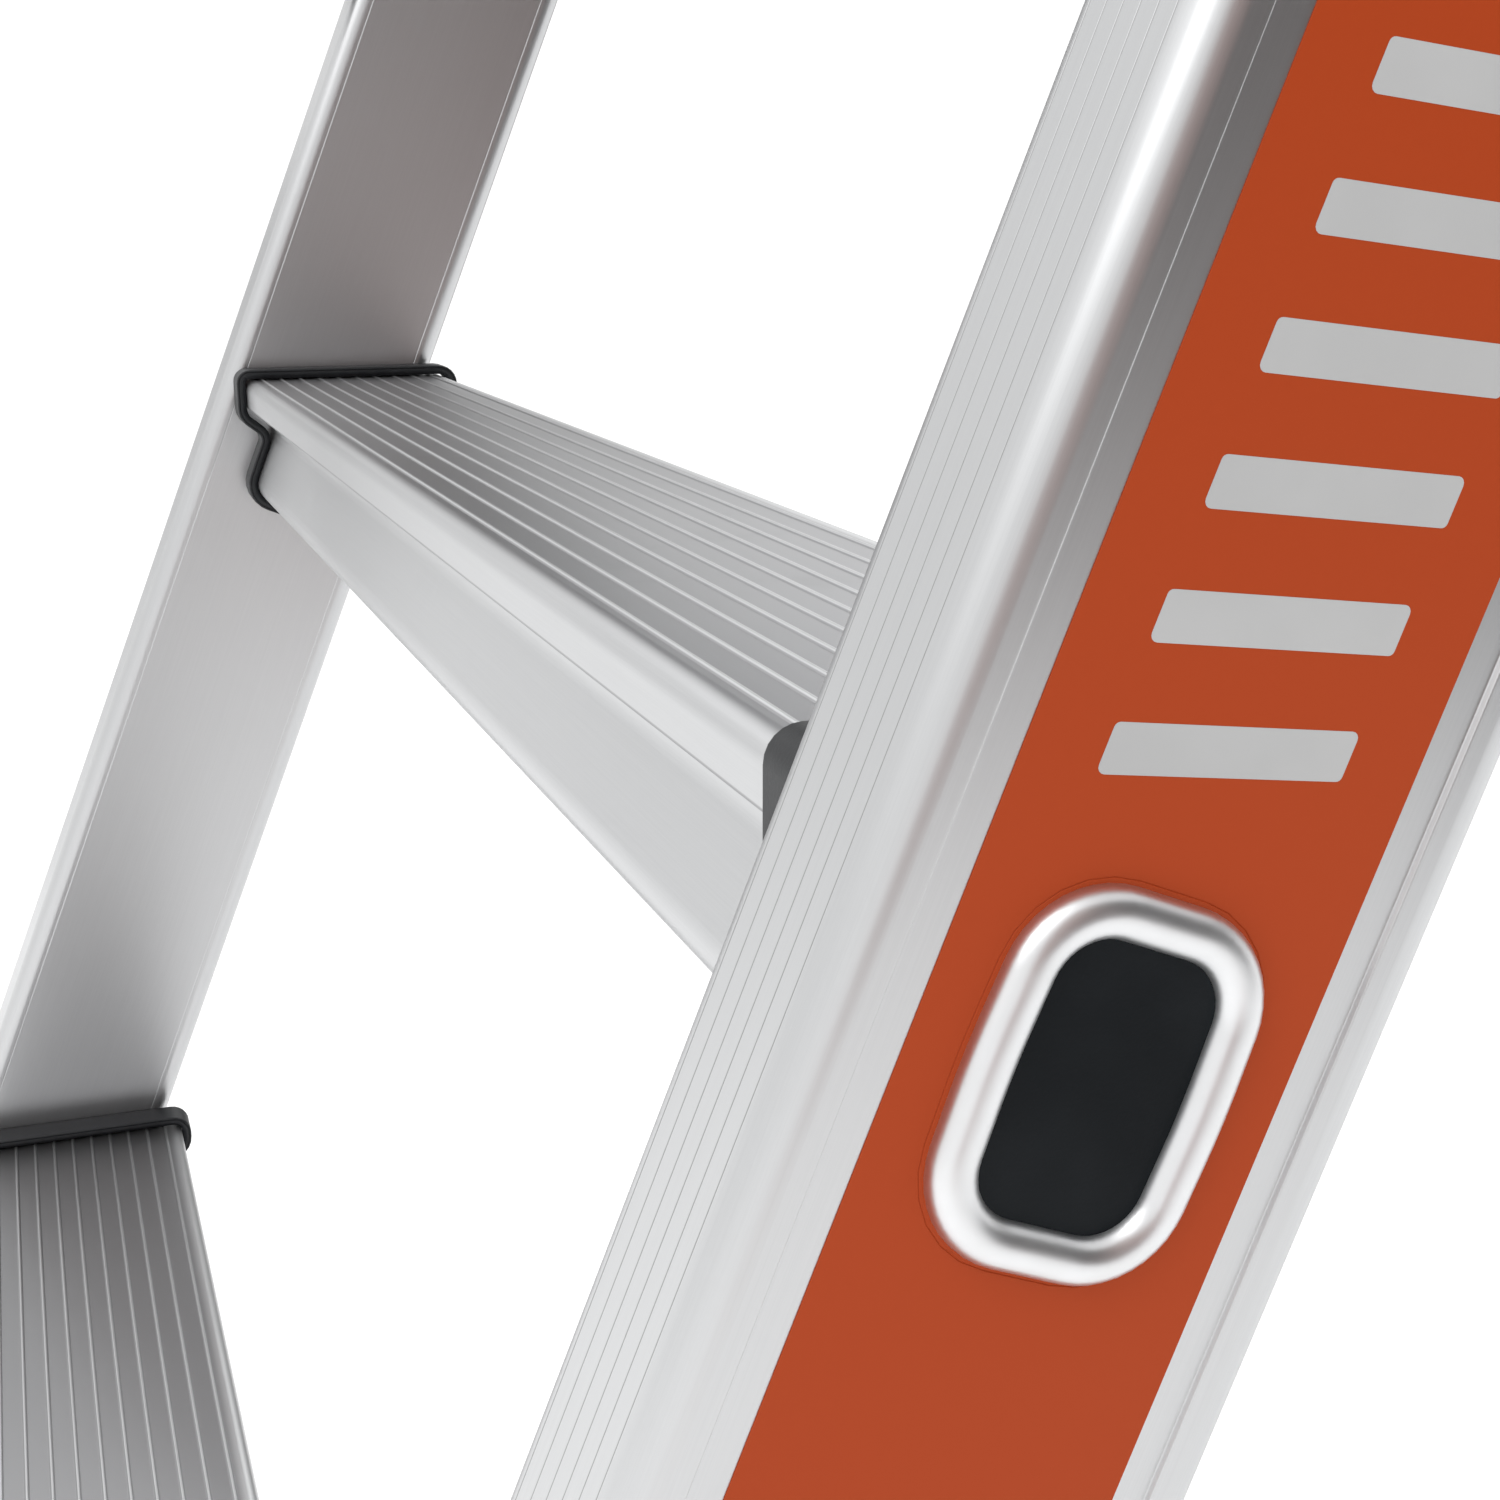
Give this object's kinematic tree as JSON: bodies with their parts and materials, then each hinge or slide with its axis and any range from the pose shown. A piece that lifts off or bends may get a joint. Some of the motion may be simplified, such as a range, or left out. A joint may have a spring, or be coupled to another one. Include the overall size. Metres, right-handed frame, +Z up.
{
  "type": "extension ladder",
  "caption": "Two-section push-up extension ladder with flat treads, sliding fly, guides, swing-down locks and rubber feet.",
  "frame": {"origin": "on the floor, under the middle of the ladder's bounding box at rest", "axes": "+Z up, +X away from the climber towards the wall, +Y to the climber's left along the treads; the stiles lean 22 degrees from +Z towards +X"},
  "size_m": [0.9826, 0.599, 2.4774],
  "materials": {
    "stile_aluminium": "satin extruded, fine drawing lines",
    "tread_aluminium": "satin extruded, ribbed tread top",
    "collar_plastic": "moulded black, fine grain",
    "cap_plastic": "moulded black, fine grain",
    "guide_plastic": "moulded black, glass filled",
    "foot_rubber": "moulded rubber, grooved sole",
    "lock_casting": "cast, lightly blasted",
    "pin_steel": "zinc plated",
    "label_film": "printed film"
  },
  "bodies": {
    "base": {"base_collar_left_1": "collar_plastic", "base_collar_left_2": "collar_plastic", "base_collar_left_3": "collar_plastic", "base_collar_left_4": "collar_plastic", "base_collar_left_5": "collar_plastic", "base_collar_left_6": "collar_plastic", "base_collar_left_7": "collar_plastic", "base_collar_right_1": "collar_plastic", "base_collar_right_2": "collar_plastic", "base_collar_right_3": "collar_plastic", "base_collar_right_4": "collar_plastic", "base_collar_right_5": "collar_plastic", "base_collar_right_6": "collar_plastic", "base_collar_right_7": "collar_plastic", "base_end_cap_left": "cap_plastic", "base_end_cap_right": "cap_plastic", "base_foot_left": "foot_rubber", "base_foot_right": "foot_rubber", "base_stile_left": "stile_aluminium", "base_stile_right": "stile_aluminium", "base_tread_1": "tread_aluminium", "base_tread_2": "tread_aluminium", "base_tread_3": "tread_aluminium", "base_tread_4": "tread_aluminium", "base_tread_5": "tread_aluminium", "base_tread_6": "tread_aluminium", "base_tread_7": "tread_aluminium", "upper_guide_left": "guide_plastic", "upper_guide_right": "guide_plastic"},
    "fly": {"fly_collar_left_1": "collar_plastic", "fly_collar_left_2": "collar_plastic", "fly_collar_left_3": "collar_plastic", "fly_collar_left_4": "collar_plastic", "fly_collar_left_5": "collar_plastic", "fly_collar_left_6": "collar_plastic", "fly_collar_right_1": "collar_plastic", "fly_collar_right_2": "collar_plastic", "fly_collar_right_3": "collar_plastic", "fly_collar_right_4": "collar_plastic", "fly_collar_right_5": "collar_plastic", "fly_collar_right_6": "collar_plastic", "fly_end_cap_left": "cap_plastic", "fly_end_cap_right": "cap_plastic", "fly_stile_left": "stile_aluminium", "fly_stile_right": "stile_aluminium", "fly_tread_1": "tread_aluminium", "fly_tread_2": "tread_aluminium", "fly_tread_3": "tread_aluminium", "fly_tread_4": "tread_aluminium", "fly_tread_5": "tread_aluminium", "fly_tread_6": "tread_aluminium", "fly_wall_cap_left": "foot_rubber", "fly_wall_cap_right": "foot_rubber", "lock_pin_left": "pin_steel", "lock_pin_right": "pin_steel", "lower_guide_left": "guide_plastic", "lower_guide_right": "guide_plastic"},
    "lock_left": {"lock_strut_left": "lock_casting"},
    "lock_right": {"lock_strut_right": "lock_casting"}
  },
  "joints": [
    {"name": "fly_extend", "type": "slide", "parent": "base", "child": "fly", "axis": [0.3746, 0, 0.9272], "range_m": [-0.56, 0.56]},
    {"name": "lock_left_swing", "type": "hinge", "parent": "fly", "child": "lock_left", "pos_m": [-0.054, 0.2489, 1.13324], "axis": [0, -1, 0], "range_deg": [0, 50]},
    {"name": "lock_right_swing", "type": "hinge", "parent": "fly", "child": "lock_right", "pos_m": [-0.054, -0.2489, 1.13324], "axis": [0, -1, 0], "range_deg": [0, 50]}
  ]
}
